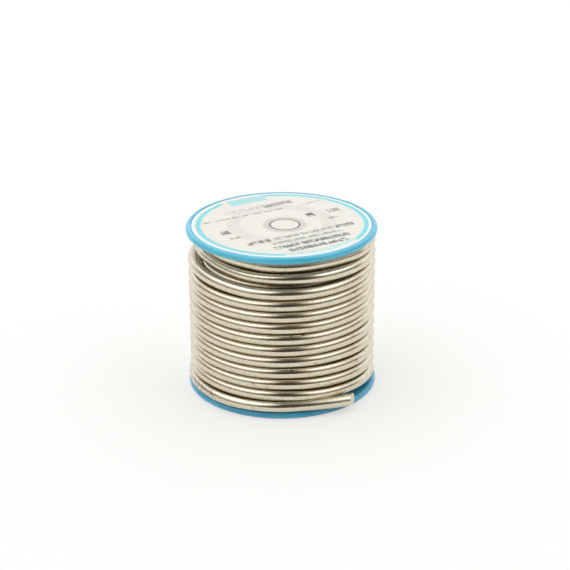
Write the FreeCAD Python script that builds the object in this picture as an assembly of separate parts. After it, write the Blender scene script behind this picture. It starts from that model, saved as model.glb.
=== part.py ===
import FreeCAD, Part
import math
import os

# Solder wire spool, in millimetres. +Z runs up the spool's axis, and the origin is the middle of
# the underside, on which the spool stands. The front, where the wire's cut end lies, faces -Y.

# Wire and how it is wound
wire_diameter = 2.7
turns_per_layer = 13
wire_layers = 5
turn_slack = 0.045           # left between neighbouring turns
layer_slack = 0.03           # left between a layer and the one under it
end_slack = 0.46             # left over between a full layer and the upper flange
drawn_thinning = 0.45        # the drawn tube is this much thinner than the wire, so turns stay apart

# Moulded spool
bore_diameter = 10.0
bore_chamfer = 0.4
barrel_diameter = 16.0
flange_thickness = 1.5
rim_margin = 0.38            # how far the flanges reach past the winding
spigot_length = 6.0
spigot_clearance = 0.1       # all round the spigot in its socket
spigot_end_gap = 0.2
spigot_chamfer = 0.4
start_hole_clearance = 0.3   # all round the wire's start in the upper flange
start_hole_angle = 60.0      # degrees from the front, towards +X

# Paper label in its recess. The other flange has the same recess, left bare
label_margin = 1.28          # bare rim outside the label
label_thickness = 0.15
recess_depth = 0.2
label_clearance = 0.15       # all round the label in its recess

# Seats
seat_gap = 0.3               # between the winding and the layers under it
core_clearance = 0.15        # between the layers and the barrel
tail_clearance = 0.3         # between the wire's start and the label over it

# The free end springs open: an arc, and a straight tip one diameter long
free_end_radius = 40.0
free_end_angle = 20.0

# What follows from these sizes
turn_pitch = wire_diameter + turn_slack
layer_pitch = wire_diameter + layer_slack
wire_radius = wire_diameter / 2
tube_diameter = wire_diameter - drawn_thinning
tube_radius = tube_diameter / 2
bore_radius = bore_diameter / 2
barrel_radius = barrel_diameter / 2
drum_width = (turns_per_layer - 1) * turn_pitch + wire_diameter + end_slack
drum_top = flange_thickness + drum_width
overall_height = drum_top + flange_thickness
joint_height = overall_height / 2
top_level = turns_per_layer - 1


def layer_radius(layer):
    """Radius of the wire's middle in a layer, the first being on the barrel."""
    return barrel_radius + wire_radius + (layer - 1) * layer_pitch


def level_height(level):
    """Height of the wire's middle in a turn, level 0 lying on the lower flange."""
    return flange_thickness + wire_radius + level * turn_pitch


outer_radius = layer_radius(wire_layers)
flange_radius = outer_radius + wire_radius + rim_margin
label_radius = flange_radius - label_margin
recess_radius = label_radius + label_clearance
recess_floor = overall_height - recess_depth

# The outer layer's top turns, a quarter turn apart from the back: how many layers inside the
# outer layer and how many levels under the top turn the wire lies. Its under layer climbs to the
# upper flange, comes out on the right, sinks in again on the left and the front, and comes out.
lifted = 0.9 * end_slack / turn_pitch
top_turns = [
    (1.05, 2.30),
    (1.02, 2.05),
    (1.00, 2.00),
    (1.03, 1.87),
    (1.38, 0.45),
    (1.30, -lifted),
    (0.70, -lifted),
    (0.00, -lifted),
    (0.00, -lifted),
    (0.69, 0.72),
    (0.71, 0.86),
    (0.00, 0.94),
    (0.00, 1.18),
    (0.00, 1.67),
    (0.00, 2.00),
]

# Each level turn steps down to the next behind the spool. The lowest steps first and soonest.
# Degrees past the front at which a step starts and ends, and how much later for each turn up
step_start = 0.0
step_start_drift = 14.0
step_end = 85.0
step_end_drift = 20.0

# Over its last quarter turn the wire stands off the winding and past the flange's edge:
# millimetres off at the start and end of that quarter, and the drift there per quarter turn
stand_off_start = 0.48
stand_off_end = 1.13
stand_off_start_drift = 0.9
stand_off_end_drift = -0.3

stations_per_turn = 4
level_turns = top_level - 2
first_turn = -level_turns - (len(top_turns) - 1) / stations_per_turn
radii = [layer_radius(wire_layers - layers_in) for layers_in, levels_down in top_turns]
heights = [level_height(top_level - levels_down) for layers_in, levels_down in top_turns]
for turns_left in range(level_turns, 0, -1):
    start = step_start + step_start_drift * turns_left
    end = step_end + step_end_drift * turns_left
    for station in range(1, stations_per_turn + 1):
        share = (station * 360 / stations_per_turn - start) / (end - start)
        share = min(1.0, max(0.0, share))
        stepped = share * share * (3 - 2 * share)
        radii.append(outer_radius)
        heights.append(level_height(turns_left - stepped))
radii[-2] = outer_radius + stand_off_start
radii[-1] = outer_radius + stand_off_end


def drift(values, k):
    """Change per quarter turn at a station, with no overshoot between the stations."""
    if k == 0 or k == len(values) - 1:
        return 0.0
    before = values[k] - values[k - 1]
    after = values[k + 1] - values[k]
    if before * after <= 0:
        return 0.0
    return 2 * before * after / (before + after)


radius_drifts = [drift(radii, k) for k in range(len(radii))]
height_drifts = [drift(heights, k) for k in range(len(heights))]
radius_drifts[-2] = stand_off_start_drift
radius_drifts[-1] = stand_off_end_drift


def wire_place(k):
    """Point and direction of the wire at a station, the last one being the front."""
    angle = 2 * math.pi * (first_turn + k / stations_per_turn)
    outward = FreeCAD.Vector(math.sin(angle), -math.cos(angle), 0)
    onward = FreeCAD.Vector(math.cos(angle), math.sin(angle), 0)
    point = outward * radii[k]
    point.z = heights[k]
    quarter_length = 2 * math.pi * radii[k] / stations_per_turn
    direction = outward * radius_drifts[k] + onward * quarter_length
    direction.z = height_drifts[k]
    return point, direction.normalize()


def arc_to(start, corner, end):
    """Arc from start to end, whose tangents meet at a corner as far from both."""
    middle = (start + end) * 0.5
    half = (end - start).Length / 2
    rise = corner - middle
    height = half * math.tan(math.atan2(rise.Length, half) / 2)
    return Part.Arc(start, middle + rise.normalize() * height, end)


def biarc(start, start_direction, end, end_direction):
    """Two arcs that meet smoothly, from one point and direction to another."""
    chord = end - start
    both = start_direction + end_direction
    a = 2 * (1 - start_direction.dot(end_direction))
    b = chord.dot(both)
    reach = (math.sqrt(b * b + a * chord.dot(chord)) - b) / a
    first_corner = start + start_direction * reach
    second_corner = end - end_direction * reach
    meeting = (first_corner + second_corner) * 0.5
    return [arc_to(start, first_corner, meeting), arc_to(meeting, second_corner, end)]


def winding_path():
    """The visible wire's middle line: straight start, turns, sprung arc and straight tip."""
    point, direction = wire_place(0)
    path = [Part.LineSegment(point - direction * tube_diameter, point)]
    for k in range(1, len(radii)):
        next_point, next_direction = wire_place(k)
        path = path + biarc(point, direction, next_point, next_direction)
        point, direction = next_point, next_direction
    bend = math.radians(free_end_angle)
    inward = FreeCAD.Vector(-direction.y, direction.x, 0)
    tip_direction = direction * math.cos(bend) + inward * math.sin(bend)
    corner = point + direction * (free_end_radius * math.tan(bend / 2))
    tip_start = corner + tip_direction * (free_end_radius * math.tan(bend / 2))
    path.append(arc_to(point, corner, tip_start))
    path.append(Part.LineSegment(tip_start, tip_start + tip_direction * wire_diameter))
    return path


def least_gap(path_wire):
    """Least space between the tube and itself, measured on points half a millimetre apart."""
    spacing = 0.5
    one_turn = 2 * math.pi * outer_radius / spacing
    points = path_wire.discretize(Number=round(path_wire.Length / spacing))
    nearest = outer_radius
    for i, point in enumerate(points):
        first = i + round(one_turn / 2)
        for other in points[first:first + round(3.5 * one_turn)]:
            nearest = min(nearest, point.distanceToPoint(other))
    return nearest - tube_diameter


def make_outer_layer():
    """The outer layer of turns, one unbroken tube from under the top turns to the cut end."""
    path = winding_path()
    tightest = 1 / max(curve.curvature(curve.FirstParameter) for curve in path)
    path_wire = Part.Wire([curve.toShape() for curve in path])
    start = path[0].StartPoint
    section = Part.Circle(start, path[0].EndPoint - start, tube_radius).toShape()
    tube = path_wire.makePipeShell([Part.Wire([section])], True, False)
    straight = math.pi * tube_radius ** 2 * path_wire.Length
    print("outer layer: loops %.1f, length %.0f mm" % (-first_turn, path_wire.Length))
    print("tightest arc %.1f mm, least gap to itself %.2f mm" % (tightest, least_gap(path_wire)))
    print("tube volume over section times length %.4f" % (tube.Volume / straight))
    return tube


def turned(edges):
    """Solid made by turning a closed outline, drawn in the XZ plane, round the spool's axis."""
    outline = Part.Face(Part.Wire(Part.__sortEdges__(edges)))
    return outline.revolve(FreeCAD.Vector(0, 0, 0), FreeCAD.Vector(0, 0, 1), 360)


def lines(points):
    """Straight edges through (radius, height) points."""
    places = [FreeCAD.Vector(radius, 0, height) for radius, height in points]
    return [Part.makeLine(a, b) for a, b in zip(places, places[1:])]


def rim(bottom):
    """Full round edge of a flange whose underside is at this height."""
    inside = flange_radius - flange_thickness / 2
    low = FreeCAD.Vector(inside, 0, bottom)
    middle = FreeCAD.Vector(flange_radius, 0, bottom + flange_thickness / 2)
    high = FreeCAD.Vector(inside, 0, bottom + flange_thickness)
    return Part.Arc(low, middle, high).toShape()


def start_hole_place(height):
    """Point at this height in the middle of the hole for the wire's start, beside the barrel."""
    radius = barrel_radius + wire_radius + start_hole_clearance
    angle = math.radians(start_hole_angle)
    return FreeCAD.Vector(radius * math.sin(angle), -radius * math.cos(angle), height)


rim_inside = flange_radius - flange_thickness / 2
spigot_radius = (bore_radius + barrel_radius) / 2
socket_radius = spigot_radius + spigot_clearance
spigot_top = joint_height + spigot_length
socket_floor = spigot_top + spigot_end_gap


def make_lower_half():
    """Lower flange, recessed underneath, and half of the barrel, with the spigot of their joint."""
    outline = lines([
        (rim_inside, flange_thickness),
        (barrel_radius, flange_thickness),
        (barrel_radius, joint_height),
        (spigot_radius, joint_height),
        (spigot_radius, spigot_top - spigot_chamfer),
        (spigot_radius - spigot_chamfer, spigot_top),
        (bore_radius, spigot_top),
        (bore_radius, recess_depth + bore_chamfer),
        (bore_radius + bore_chamfer, recess_depth),
        (recess_radius, recess_depth),
        (recess_radius, 0),
        (rim_inside, 0),
    ])
    return turned(outline + [rim(0)])


def make_upper_half():
    """Upper flange with the label's recess and the start hole, and half of the barrel."""
    outline = lines([
        (rim_inside, drum_top),
        (barrel_radius, drum_top),
        (barrel_radius, joint_height),
        (socket_radius, joint_height),
        (socket_radius, socket_floor),
        (bore_radius, socket_floor),
        (bore_radius, recess_floor),
        (recess_radius, recess_floor),
        (recess_radius, overall_height),
        (rim_inside, overall_height),
    ])
    half = turned(outline + [rim(drum_top)])
    hole_radius = wire_radius + start_hole_clearance
    return half.cut(Part.makeCylinder(hole_radius, flange_thickness, start_hole_place(drum_top)))


def make_label():
    """Round paper label, which also closes the bore at the top."""
    return Part.makeCylinder(label_radius, label_thickness, FreeCAD.Vector(0, 0, recess_floor))


layers_top = drum_top - seat_gap


def make_inner_layers():
    """The wound layers under the outer one, as one plain body with the top turns' room cut away."""
    full = outer_radius - tube_radius - seat_gap
    reduced = min(radii) - tube_radius - seat_gap
    shoulder = min(heights[:len(top_turns)]) - tube_radius - seat_gap
    inside = barrel_radius + core_clearance
    outline = lines([
        (inside, flange_thickness),
        (full, flange_thickness),
        (full, shoulder),
        (reduced, shoulder),
        (reduced, layers_top),
        (inside, layers_top),
        (inside, flange_thickness),
    ])
    return turned(outline)


def make_start_tail():
    """The wire's start, which leaves the innermost layer through the upper flange."""
    length = recess_floor - tail_clearance - layers_top
    return Part.makeCylinder(tube_radius, length, start_hole_place(layers_top))


pieces = {
    "lower_spool_half": make_lower_half(),
    "upper_spool_half": make_upper_half(),
    "paper_label": make_label(),
    "solder_inner_layers": make_inner_layers(),
    "solder_outer_layer": make_outer_layer(),
    "solder_start_tail": make_start_tail(),
}

os.makedirs("parts", exist_ok=True)
for name, shape in pieces.items():
    shape.exportStep("parts/%s.step" % name)
    print("%-20s valid %s, solids %d, volume %.1f mm3" % (
        name, shape.isValid(), len(shape.Solids), shape.Volume))
print("flange diameter %.2f, height %.2f mm" % (2 * flange_radius, overall_height))
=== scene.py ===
# Solder wire spool, seen as in the photograph: a blue plastic spool with a round paper label,
# wound full of thick bright solder wire. All lengths are in metres.
import bisect
import math

import bpy
from mathutils import Matrix, Vector


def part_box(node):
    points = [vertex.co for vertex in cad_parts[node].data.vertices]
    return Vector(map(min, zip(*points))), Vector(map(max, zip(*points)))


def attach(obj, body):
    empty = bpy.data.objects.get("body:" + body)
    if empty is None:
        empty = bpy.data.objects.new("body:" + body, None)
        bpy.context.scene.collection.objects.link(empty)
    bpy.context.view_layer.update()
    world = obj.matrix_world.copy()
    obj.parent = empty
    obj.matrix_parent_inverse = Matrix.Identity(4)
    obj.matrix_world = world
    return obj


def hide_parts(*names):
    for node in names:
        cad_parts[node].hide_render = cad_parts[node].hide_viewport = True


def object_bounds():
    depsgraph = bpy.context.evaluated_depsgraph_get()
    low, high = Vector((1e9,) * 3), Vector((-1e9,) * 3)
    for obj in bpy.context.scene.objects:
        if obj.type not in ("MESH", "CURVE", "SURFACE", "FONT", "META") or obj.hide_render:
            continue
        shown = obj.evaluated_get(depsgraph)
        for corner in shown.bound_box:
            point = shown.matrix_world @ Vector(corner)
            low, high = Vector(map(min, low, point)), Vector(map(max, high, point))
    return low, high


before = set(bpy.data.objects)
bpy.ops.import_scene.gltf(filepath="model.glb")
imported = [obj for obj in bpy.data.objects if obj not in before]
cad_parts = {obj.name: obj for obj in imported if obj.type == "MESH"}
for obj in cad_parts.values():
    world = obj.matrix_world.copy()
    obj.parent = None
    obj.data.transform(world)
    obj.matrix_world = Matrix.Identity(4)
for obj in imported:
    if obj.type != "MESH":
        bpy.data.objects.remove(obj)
cad_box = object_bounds()
MM = 0.001

# Camera
# A long lens looks down on the spool from the front, a little off the picture's middle and
# rolled by a third of a degree.
scene = bpy.context.scene
scene.view_settings.view_transform = "Standard"
spool_middle = Vector((0, 0, (cad_box[0][2] + cad_box[1][2]) / 2))
camera_distance = 410.4 * MM
camera_elevation = math.radians(23.26)
camera_roll = math.radians(-0.33)
camera_data = bpy.data.cameras.new("camera")
camera_data.lens = 111.1
camera_data.sensor_width = 36
camera_data.shift_x = 0.00547
camera_data.shift_y = 0.02972
camera_data.clip_start = 0.01
camera = bpy.data.objects.new("camera", camera_data)
backwards = Vector((0, -math.cos(camera_elevation), math.sin(camera_elevation)))
stand = Matrix.Translation(spool_middle + backwards * camera_distance)
tilt = Matrix.Rotation(math.pi / 2 - camera_elevation, 4, "X")
roll = Matrix.Rotation(camera_roll, 4, "Z")
camera.matrix_world = stand @ tilt @ roll
scene.collection.objects.link(camera)
scene.camera = camera


# Spool halves
# Two mouldings in glossy light blue plastic, a flange and half a barrel each, pushed together
# inside the winding. The mould leaves fine rings and faint flow marks on the flanges.
flange_thickness = 1.5 * MM
spool_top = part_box("upper_spool_half")[1].z
underside_height = spool_top - flange_thickness
underside_inner = 9.5 * MM
thin_outer = 20.1 * MM
underside_outer = 21.05 * MM
# Lit and shaded copies of one plastic: the upper half is painted paler, as painted light where
# light comes through it, and the lower half a little deeper, as painted shade
lower_shaded_blue = (0.04, 0.35, 0.58)
lower_shaded_pale = (0.07, 0.43, 0.67)
upper_lit_blue = (0.06, 0.51, 0.70)
upper_lit_pale = (0.09, 0.58, 0.77)
# Painted light and painted shade for the upper flange's underside, and its painted glow
lit_through = (0.57, 0.66, 0.69)
rim_shade = (0.33, 0.34, 0.32)
no_glow = (0, 0, 0)
faint_glow = (0.05, 0.058, 0.068)


class Value:
    """A node's output, on which sums are written as sums."""

    def __init__(self, socket):
        self.socket = socket

    @property
    def tree(self):
        return self.socket.id_data

    def math(self, operation, *others):
        settings = {"operation": operation}
        return output(add_node(self.tree, "ShaderNodeMath", settings, self, *others))

    def __add__(self, other):
        return self.math("ADD", other)

    def __radd__(self, other):
        return self.math("ADD", other)

    def __sub__(self, other):
        return self.math("SUBTRACT", other)

    def __rsub__(self, other):
        return (self * -1).math("ADD", other)

    def __mul__(self, other):
        return self.math("MULTIPLY", other)

    def __rmul__(self, other):
        return self.math("MULTIPLY", other)

    def rise(self, low, high):
        """0 below low, 1 above high, and a smooth step between them."""
        settings = {"interpolation_type": "SMOOTHSTEP"}
        return output(add_node(self.tree, "ShaderNodeMapRange", settings, self, low, high))

    def band(self, low, high, soft):
        """1 between low and high, with soft edges."""
        return self.rise(low - soft, low + soft) * (1 - self.rise(high - soft, high + soft))


def connect(item, socket):
    if isinstance(item, Value):
        item.tree.links.new(item.socket, socket)
    else:
        socket.default_value = item


def set_inputs(node, **inputs):
    for name, item in inputs.items():
        connect(item, node.inputs[name.replace("_", " ")])


def add_node(tree, kind, settings=None, *in_order, **by_name):
    """Any node: its type, its settings, and what its sockets get, in their order or by name."""
    node = tree.nodes.new(kind)
    for name, setting in (settings or {}).items():
        setattr(node, name, setting)
    for item, socket in zip(in_order, node.inputs):
        connect(item, socket)
    set_inputs(node, **by_name)
    return node


def output(node, name=0):
    return Value(node.outputs[name])


def coordinates(tree, kind="Object"):
    """X, Y and Z, which are the piece's own unless another kind is named."""
    place = output(add_node(tree, "ShaderNodeTexCoord"), kind)
    split = add_node(tree, "ShaderNodeSeparateXYZ", Vector=place)
    return [output(split, axis) for axis in "XYZ"]


def distance(x, y):
    return (x * x + y * y).math("SQRT")


def vector(x, y, z):
    return output(add_node(x.tree, "ShaderNodeCombineXYZ", X=x, Y=y, Z=z))


def noise(place, scale, detail, roughness=0.5):
    node = add_node(place.tree, "ShaderNodeTexNoise", Vector=place, Scale=scale, Detail=detail,
                    Roughness=roughness)
    return output(node, "Fac")


def mix(first, second, share):
    """Colour between two colours, whose sockets come after those for numbers and vectors."""
    node = add_node(share.tree, "ShaderNodeMix", {"data_type": "RGBA"}, share)
    for colour, socket in ((first, node.inputs[6]), (second, node.inputs[7])):
        connect(colour if isinstance(colour, Value) else (*colour, 1), socket)
    return output(node, 2)


def bump(height, depth):
    return output(add_node(height.tree, "ShaderNodeBump", Height=height, Distance=depth), "Normal")


def new_material(name):
    material = bpy.data.materials.new(name)
    material.use_nodes = True
    tree = material.node_tree
    return material, tree, tree.nodes["Principled BSDF"]


def give_material(name, material):
    """Gives one of the frame's solids its material."""
    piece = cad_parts[name]
    piece.data.materials.clear()
    piece.data.materials.append(material)


def make_plastic(name, blue, pale):
    material, tree, surface = new_material(name)
    x, y, z = coordinates(tree)
    radius = distance(x, y)
    clouds = noise(vector(x, y, z), 160, 3)
    flow = noise(vector(radius * 4000, z * 1500, x * 60), 1, 2)
    colour = mix(blue, pale, clouds.rise(0.35, 0.7))
    # Painted light and shade on the thin upper flange's underside: it is painted paler and given a
    # faint glow, as if light shone through it, and painted grey near the rim as painted shade
    underside = z.band(underside_height - 0.3 * MM, underside_height + 0.1 * MM, 0.05 * MM)
    rim_shade_mask = underside * radius.band(underside_inner, underside_outer, 0.15 * MM)
    thin = underside * radius.band(underside_inner, thin_outer, 0.3 * MM)
    colour = mix(colour, rim_shade, rim_shade_mask * 0.95)
    set_inputs(surface,
               Base_Color=mix(colour, lit_through, thin * 0.9),
               Emission_Color=mix(no_glow, faint_glow, thin),
               Emission_Strength=1.0,
               Roughness=flow * 0.1 + 0.24,
               Normal=bump(flow + clouds, 0.02 * MM),
               IOR=1.49,
               Coat_Weight=0.4,
               Coat_Roughness=0.12)
    return material


give_material("lower_spool_half", make_plastic("blue_plastic_lower", lower_shaded_blue, lower_shaded_pale))
give_material("upper_spool_half", make_plastic("blue_plastic_upper", upper_lit_blue, upper_lit_pale))


# Paper label
# A round label of coated white paper, stuck into the upper flange's recess, with a pale cyan
# ring printed near its edge and broken grey print inside.
label_low, label_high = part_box("paper_label")
label_radius = (label_high.x - label_low.x) / 2
paper_white = (0.85, 0.82, 0.72)
fibre_white = tuple(0.95 * share for share in paper_white)
tone_grey = tuple(0.8 * share for share in paper_white)
margin_white = (0.84, 0.93, 0.93)
ring_cyan = (0.20, 0.69, 0.72)
print_grey = (0.05, 0.046, 0.04)
edge_shade_blue = (0.16, 0.32, 0.38)
ring_inner = 18.75 * MM
ring_outer = 19.8 * MM
print_tilt = math.radians(29)
# Print on the label, in millimetres along and across its tilted lines: from, to, line's middle,
# height and how dark it is
print_marks = [
    (-12.9, -7.2, -7.8, 1.7, 0.9), (-6.0, 9.0, -7.8, 1.4, 0.62), (9.5, 14.5, -7.8, 1.7, 0.9),
    (-8.4, 10.2, -10.3, 1.3, 0.5), (-8.9, 10.3, -12.9, 1.7, 0.9), (-6.7, 8.2, -15.5, 1.7, 0.95),
    (-15.9, 5.1, 8.8, 0.7, 0.65), (9.9, 15.6, 9.0, 0.6, 0.5),
    (-8.4, 1.0, 12.3, 1.8, 0.24), (1.6, 9.4, 12.0, 2.0, 0.7),
    (-15.0, -12.8, 1.2, 2.3, 0.85), (-14.6, -12.0, -2.9, 1.1, 0.7),
    (7.7, 9.6, 1.8, 2.3, 1.0), (13.2, 16.5, 1.9, 2.0, 0.72), (11.2, 13.5, -2.3, 1.2, 0.6),
]
# Fine rings in the middle, in millimetres: from, to, softness and how dark they are
middle_rings = [(3.2, 3.7, 0.1, 0.95), (4.0, 4.4, 0.15, 0.42), (4.65, 4.95, 0.12, 0.42)]


def label_cyan(x, y, radius, along, across):
    """The cyan ring, open at two places: a plain bar stands at one, small marks at the other."""
    angle = y.math("ARCTAN2", x) * math.degrees(1)
    upper_gap = angle.band(104, 137, 1)
    lower_gap = angle.band(-88, -31, 1)
    ring = distance(x - 0.18 * MM, y).band(ring_inner, ring_outer, 0.12 * MM)
    ring = ring * (1 - upper_gap) * (1 - lower_gap)
    bar = along.band(-4.5 * MM, 5.0 * MM, 0.5 * MM) * across.band(15.7 * MM, 19.2 * MM, 0.5 * MM)
    bar = bar * (1 - radius.rise(19.5 * MM, 19.9 * MM)) * 0.7
    ticks = noise(vector(angle * 1.1, radius * 500, 0), 1, 1).rise(0.42, 0.58)
    small = radius.band(17.7 * MM, 19.3 * MM, 0.25 * MM) * lower_gap * ticks * 0.7
    return ring.math("MAXIMUM", bar).math("MAXIMUM", small)


def label_ink(x, y, along, across):
    """Grey print: broken lines, and rings in the middle."""
    broken = noise(vector(along * 1100, across * 650, 0), 1, 2, 0.8).rise(0.42, 0.51)
    soft = 0.2 * MM
    ink = 0
    for start, end, line, height, dark in print_marks:
        low = (line - height / 2) * MM
        high = (line + height / 2) * MM
        mark = along.band(start * MM, end * MM, soft) * across.band(low, high, soft)
        ink = ink + mark * broken * dark
    middle = distance(x - 0.75 * MM, y + 0.55 * MM)
    for start, end, soft, dark in middle_rings:
        ink = ink + middle.band(start * MM, end * MM, soft * MM) * dark
    return ink


def make_paper():
    material, tree, surface = new_material("label_paper")
    x, y, z = coordinates(tree)
    radius = distance(x, y)
    along = x * math.cos(print_tilt) + y * math.sin(print_tilt)
    across = y * math.cos(print_tilt) - x * math.sin(print_tilt)
    fibre = noise(vector(x, y, z), 2500, 3)
    paper = mix(paper_white, fibre_white, fibre)
    # A broad, faint band of tone round the middle, and the bare margin outside the ring
    paper = mix(paper, tone_grey, radius.band(9.4 * MM, 12.6 * MM, 0.35 * MM) * 0.5)
    paper = mix(paper, margin_white, radius.rise(19.9 * MM, 20.1 * MM))
    paper = mix(paper, ring_cyan, label_cyan(x, y, radius, along, across))
    paper = mix(paper, print_grey, label_ink(x, y, along, across) * 0.9)
    # Painted shade: the label's outer edge is painted dark blue-grey, where the gap to the rim lies
    # in shade
    edge = radius.rise(label_radius - 0.14 * MM, label_radius - 0.06 * MM)
    set_inputs(surface,
               Base_Color=mix(paper, edge_shade_blue, edge * 0.8),
               Roughness=0.42,
               Normal=bump(fibre, 0.004 * MM))
    return material


give_material("paper_label", make_paper())


# Solder wire
# One soft, bright drawn wire of tin solder, wound back and forth over the barrel in five layers.
# It lies turn against turn, level across the front, and steps down to the next turn behind.
wire_diameter = 2.7 * MM
turn_pitch = 2.745 * MM
layer_pitch = 2.73 * MM
barrel_radius = 8.0 * MM
outer_layer = 5
top_level = 12
level_turns = top_level - 2
# The turns above the level ones as (degrees, layers inside the outer layer, levels under the
# top turn), where the degrees count back from the front, where the level turns start
top_turns = [
    (-1260, 1.05, 2.30), (-1170, 1.05, 1.92), (-1080, 1.05, 1.86), (-990, 1.05, 1.78),
    (-900, 1.38, 0.45), (-810, 1.30, -0.10), (-780, 1.12, -0.06), (-766, 1.09, -0.05),
    (-747, 0.98, -0.04), (-731, 0.74, -0.03), (-720, 0.67, -0.02), (-689, 0.58, -0.04),
    (-672, 0.39, -0.03), (-663, 0.22, -0.02), (-630, 0.00, -0.03), (-540, 0.00, -0.10),
    (-445, 0.67, 0.78), (-436, 0.80, 0.82), (-421, 0.98, 0.90), (-407, 0.93, 0.93),
    (-379, 0.60, 0.97), (-360, 0.45, 0.97), (-328, 0.10, 0.90), (-306, 0.02, 0.93),
    (-270, 0.00, 1.05), (-180, 0.00, 1.18), (-90, 0.00, 1.70), (-58, 0.00, 1.79),
    (-38, 0.00, 1.88), (-17, 0.00, 1.985),
]
# Degrees past the front at which each level turn starts and ends its step down, the lowest first
steps = [(-20, 125), (-12, 150), (-2, 152), (15, 160), (25, 172), (62, 200), (90, 225),
         (108, 245), (126, 265), (140, 285)]
# The last pass stands off the winding, as (degrees before its front, millimetres off)
stand_offs = [(150, 0.0), (90, 0.36), (75, 0.50), (55, 0.73), (45, 0.90), (35, 0.98),
              (17, 0.88), (0, 0.81)]
# The free end from the front on, as millimetres to the right of the spool's axis and before it:
# it springs away from the winding on a chord and bends back a little near its tip
free_end = [(0, 21.08), (2.0, 20.93), (4.0, 20.65), (6.0, 20.30), (8.0, 19.87), (10.0, 19.38),
            (12.0, 18.80), (13.6, 18.25), (17.1, 16.93)]
# The outer layer's turns bulge and sink a little round the front, where the middle and the
# spread are in degrees
front_sink = 0.018 * MM
front_bulge = 0.30 * MM
swell_middle = 5
swell_spread = 32
# Degrees between the level turns' stations and between the points of the route
station_gap = 15
point_gap = 3
inner_points_per_turn = 64
outer_sides = 24
inner_sides = 14
# Level at which each layer under the outer one turns round below the upper flange
inner_tops = {1: 12.0, 2: 12.0, 3: 10.0, 4: top_level - top_turns[0][2]}
first_turn = top_turns[0][0] / 360 - level_turns
cut_slant = math.radians(37)
cut_lean = math.radians(9)
tin_bright = (0.73, 0.66, 0.525)
tin_dull = (0.64, 0.574, 0.425)
groove_shade_olive = (0.12, 0.12, 0.08)
speck_brown = (0.16, 0.13, 0.09)


def layer_radius(layer):
    return barrel_radius + wire_diameter / 2 + (layer - 1) * layer_pitch


def level_height(level):
    return flange_thickness + wire_diameter / 2 + level * turn_pitch


def front_swell(degrees):
    """1 at the front, less beside it."""
    off = (degrees - swell_middle + 180) % 360 - 180
    return math.exp(-off * off / (2 * swell_spread ** 2))


def level_at(degrees):
    """Level of the wire, where the degrees count from the last pass of the front."""
    level = level_turns
    for turns_left, (start, end) in enumerate(steps, 1):
        share = min(1.0, max(0.0, (degrees + 360 * turns_left - start) / (end - start)))
        level -= share * share * (3 - 2 * share)
    return level


def outer_stations():
    """(degrees from the last pass of the front, radius, height)"""
    stations = []
    for degrees, layers_in, levels_down in top_turns:
        swell = front_swell(degrees) if layers_in == 0 else 0
        radius = layer_radius(outer_layer - layers_in) + front_bulge * swell
        height = level_height(top_level - levels_down) - front_sink * level_turns * swell
        stations.append((degrees - 360 * level_turns, radius, height))
    for degrees in range(-360 * level_turns, -stand_offs[0][0], station_gap):
        swell = front_swell(degrees)
        level = level_at(degrees)
        radius = layer_radius(outer_layer) + front_bulge * swell
        stations.append((degrees, radius, level_height(level) - front_sink * level * swell))
    for degrees, off in stand_offs:
        radius = layer_radius(outer_layer) + off * MM
        stations.append((-degrees, radius, level_height(level_at(-degrees))))
    return stations


def through(stations, place, column):
    """Smooth value between stations that overshoots none of them."""
    last = len(stations) - 1
    k = max(1, min(last, bisect.bisect_right([station[0] for station in stations], place)))
    slopes = []
    for j in (k - 1, k):
        if j in (0, last):
            slopes.append(0.0)
            continue
        before, here, after = stations[j - 1:j + 2]
        left = (here[column] - before[column]) / (here[0] - before[0])
        right = (after[column] - here[column]) / (after[0] - here[0])
        slopes.append(0.0 if left * right <= 0 else 2 * left * right / (left + right))
    gap = stations[k][0] - stations[k - 1][0]
    u = (place - stations[k - 1][0]) / gap
    start, end = stations[k - 1][column], stations[k][column]
    a = 2 * start - 2 * end + (slopes[0] + slopes[1]) * gap
    b = -3 * start + 3 * end - (2 * slopes[0] + slopes[1]) * gap
    return ((a * u + b) * u + slopes[0] * gap) * u + start


def on_spool(turn, radius, height):
    angle = 2 * math.pi * turn
    return Vector((radius * math.sin(angle), -radius * math.cos(angle), height))


def outer_route():
    stations = outer_stations()
    points = []
    for degrees in range(stations[0][0], 0, point_gap):
        radius = through(stations, degrees, 1)
        points.append(on_spool(degrees / 360, radius, through(stations, degrees, 2)))
    for aside, before in free_end:
        points.append(Vector((aside * MM, -before * MM, level_height(0))))
    return points


def inner_route():
    """The four layers under the outer one, traced back from where that one starts."""
    turn = first_turn
    level = inner_tops[4]
    stops = [(turn, layer_radius(outer_layer - top_turns[0][1]), level)]
    for layer in (4, 3, 2, 1):
        goes_down = layer % 2 == 0
        target = 0.0 if goes_down else inner_tops[layer]
        turn -= abs(level - target)
        level = target
        stops.append((turn, layer_radius(layer), level))
        if layer > 1:
            turn -= 0.5
            stops.append((turn, layer_radius(layer - 1), level))
    stops.reverse()
    points = []
    for (turn, radius, level), (next_turn, next_radius, next_level) in zip(stops, stops[1:]):
        count = max(2, round((next_turn - turn) * inner_points_per_turn))
        for point in range(count):
            u = point / count
            points.append(on_spool(turn + (next_turn - turn) * u,
                                   radius + (next_radius - radius) * u,
                                   level_height(level + (next_level - level) * u)))
    turn, radius, level = stops[-1]
    points.append(on_spool(turn, radius, level_height(level)))
    return points


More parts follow.
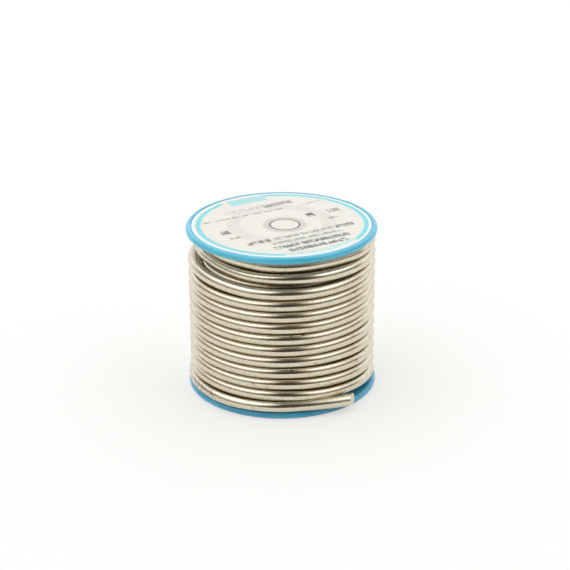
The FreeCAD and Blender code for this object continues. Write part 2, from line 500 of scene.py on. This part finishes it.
def tube_tree():
    """Sweeps a round wire along a route and notes how far its surface leans up or down."""
    tree = bpy.data.node_groups.new("wire_along_route", "GeometryNodeTree")
    face = tree.interface
    face.new_socket("Route", in_out="INPUT", socket_type="NodeSocketGeometry")
    face.new_socket("Diameter", in_out="INPUT", socket_type="NodeSocketFloat")
    face.new_socket("Sides", in_out="INPUT", socket_type="NodeSocketInt")
    face.new_socket("Material", in_out="INPUT", socket_type="NodeSocketMaterial")
    face.new_socket("Wire", in_out="OUTPUT", socket_type="NodeSocketGeometry")
    start = add_node(tree, "NodeGroupInput")
    curve = add_node(tree, "GeometryNodeMeshToCurve", Mesh=output(start, "Route"))
    circle = add_node(tree, "GeometryNodeCurvePrimitiveCircle",
                      Resolution=output(start, "Sides"), Radius=output(start, "Diameter") * 0.5)
    sweep = add_node(tree, "GeometryNodeCurveToMesh", Curve=output(curve),
                     Profile_Curve=output(circle, "Curve"), Fill_Caps=True)
    normal = add_node(tree, "GeometryNodeInputNormal")
    split = add_node(tree, "ShaderNodeSeparateXYZ", Vector=output(normal))
    store = add_node(tree, "GeometryNodeStoreNamedAttribute", Geometry=output(sweep),
                     Name="lean", Value=output(split, "Z").math("ABSOLUTE"))
    smooth = add_node(tree, "GeometryNodeSetShadeSmooth", Geometry=output(store))
    realize = add_node(tree, "GeometryNodeRealizeInstances", Geometry=output(smooth))
    paint = add_node(tree, "GeometryNodeSetMaterial", Geometry=output(realize),
                     Material=output(start, "Material"))
    add_node(tree, "NodeGroupOutput", Wire=output(paint))
    return tree


def set_tree_input(modifier, name, value):
    for item in modifier.node_group.interface.items_tree:
        if item.in_out == "INPUT" and item.name == name:
            modifier[item.identifier] = value


def wind(name, points, sides, material):
    """A plain mesh of the wire along these points."""
    line = bpy.data.meshes.new(name + "_route")
    line.from_pydata(points, [(i, i + 1) for i in range(len(points) - 1)], [])
    guide = bpy.data.objects.new(name + "_route", line)
    scene.collection.objects.link(guide)
    modifier = guide.modifiers.new("wire", "NODES")
    modifier.node_group = wire_tree
    set_tree_input(modifier, "Diameter", wire_diameter)
    set_tree_input(modifier, "Sides", sides)
    set_tree_input(modifier, "Material", material)
    bpy.context.view_layer.update()
    depsgraph = bpy.context.evaluated_depsgraph_get()
    mesh = bpy.data.meshes.new_from_object(guide.evaluated_get(depsgraph))
    mesh.name = name
    bpy.data.objects.remove(guide)
    piece = bpy.data.objects.new(name, mesh)
    scene.collection.objects.link(piece)
    return piece


def cut_end(mesh, points):
    """Slants the wire's last face, as cutters leave it, so that it looks a little forwards."""
    tip = points[-1]
    axis = (tip - points[-2]).normalized()
    aside = axis.cross(Vector((0, 0, 1)))
    tip_slack = 0.1 * MM
    for corner in mesh.vertices:
        from_tip = corner.co - tip
        if abs(from_tip.dot(axis)) < tip_slack and from_tip.length < wire_diameter:
            corner.co -= axis * (from_tip.dot(aside) + wire_diameter / 2) * math.tan(cut_slant)
            corner.co -= axis * (from_tip.z + wire_diameter / 2) * math.tan(cut_lean)


def make_solder():
    material, tree, surface = new_material("solder")
    x, y, z = coordinates(tree)
    place = vector(x, y, z)
    # Fine lines that run along the wire, shallow dents, and duller patches
    drawn = add_node(tree, "ShaderNodeTexNoise", {"noise_dimensions": "4D"},
                     Vector=vector(distance(x, y) * 5000, z * 5000, x * 60), W=y * 60, Detail=2.0)
    drawn = output(drawn, "Fac")
    dents = noise(place, 420, 2)
    marks = noise(place, 1700, 3)
    metal = mix(tin_dull, tin_bright, marks.rise(0.34, 0.54))
    # A few dark specks, and rubbed marks where the last turn touches the lower flange's left
    specks = noise(place, 700, 0).rise(0.80, 0.83) * 0.5
    left = x.band(-24 * MM, -15.5 * MM, 1 * MM) * (1 - (y - 2 * MM).rise(0, 2 * MM))
    low = 1 - z.rise(3.6 * MM, 4.6 * MM)
    rubbed = left * low * noise(place, 1300, 2).rise(0.5, 0.62) * 0.55
    metal = mix(metal, speck_brown, specks.math("MAXIMUM", rubbed))
    # Painted shade in the grooves between the turns, where the surface leans up or down
    lean = output(add_node(tree, "ShaderNodeAttribute", {"attribute_name": "lean"}), "Fac")
    set_inputs(surface,
               Base_Color=mix(metal, groove_shade_olive, lean.rise(0.86, 1.0) * 0.4),
               Metallic=1.0,
               Roughness=drawn * 0.08 + (1 - marks) * 0.06 + 0.09,
               Normal=bump(drawn * 0.3 + dents * 0.7, 0.012 * MM))
    return material


solder = make_solder()
wire_tree = tube_tree()
outer_points = outer_route()
outer_turns = wind("solder_outer_turns", outer_points, outer_sides, solder)
cut_end(outer_turns.data, outer_points)
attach(outer_turns, "root")
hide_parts("solder_outer_layer")
inner_turns = wind("solder_inner_turns", inner_route(), inner_sides, solder)
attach(inner_turns, "root")
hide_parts("solder_inner_layers")
give_material("solder_start_tail", solder)


# Floor and light
# The spool stands on a plain white table in a bright tent of cloth, open in a narrow strip towards
# the camera. The table's front part, out of the picture, is painted grey as painted shade where
# less light falls on it.
floor_size = 3.0
bright_from = -0.085
grey_until = -0.35
near_white = (0.99, 0.98, 0.95)
front_shade_grey = (0.50, 0.48, 0.445)
glow_share = 0.55
cloth_strength = 1.88
shade_colour = (1.0, 0.90, 0.70)
cloth_colour = (0.985, 1.0, 1.045)
corner = floor_size / 2
floor_mesh = bpy.data.meshes.new("floor")
floor_mesh.from_pydata([(-corner, -corner, 0), (corner, -corner, 0), (corner, corner, 0),
                        (-corner, corner, 0)], [], [(0, 1, 2, 3)])
floor = bpy.data.objects.new("floor", floor_mesh)
scene.collection.objects.link(floor)
floor_white, tree, surface = new_material("floor_white")
x, y, z = coordinates(tree)
set_inputs(surface,
           Base_Color=mix(front_shade_grey, near_white, y.rise(grey_until, bright_from)),
           Roughness=0.9,
           Specular_IOR_Level=0.0)
# It glows faintly as well, like a light table, so that the spool's shadow stays pale
rays = add_node(tree, "ShaderNodeLightPath")
seen = output(rays, "Is Camera Ray").math("MAXIMUM", output(rays, "Is Glossy Ray"))
seen = seen.math("MAXIMUM", output(rays, "Is Transmission Ray"))
glow = add_node(tree, "ShaderNodeEmission", Color=(*near_white, 1), Strength=1.0)
both = add_node(tree, "ShaderNodeMixShader", None, seen * glow_share, output(surface), output(glow))
set_inputs(tree.nodes["Material Output"], Surface=output(both))
floor_mesh.materials.append(floor_white)

# The cloth round the table, in degrees round from the front and degrees up from the table
world = bpy.data.worlds.new("studio")
scene.world = world
world.use_nodes = True
tree = world.node_tree
x, y, up = coordinates(tree, "Generated")
around = x.math("ARCTAN2", y * -1) * math.degrees(1)
height = up.math("ARCSINE") * math.degrees(1)
behind = around.rise(100, 125) + (around * -1).rise(110, 142)
left_edge = (around - height * 0.45).rise(-55, -20)
left_cloth = height.rise(8, 50) * (1 - height.rise(60, 96)) * (1 - left_edge)
right_cloth = height.rise(8, 52) * (1 - height.rise(56, 88)) * around.rise(18, 62)
cloths = (left_cloth * cloth_strength).math("MAXIMUM", right_cloth * cloth_strength)
low_wall = 0.07 + (1 - around.rise(-52, -4)) * 0.35 + around.rise(12, 62) * 0.26
low_wall = low_wall + height.rise(45, 85) * 0.3
front = low_wall.math("MAXIMUM", cloths)
back = height.rise(0, 14) * 0.2 + 0.95
level = front * (1 - behind) + back * behind
set_inputs(tree.nodes["Background"],
           Color=mix(shade_colour, cloth_colour, level.rise(0.15, 0.9)),
           Strength=level)
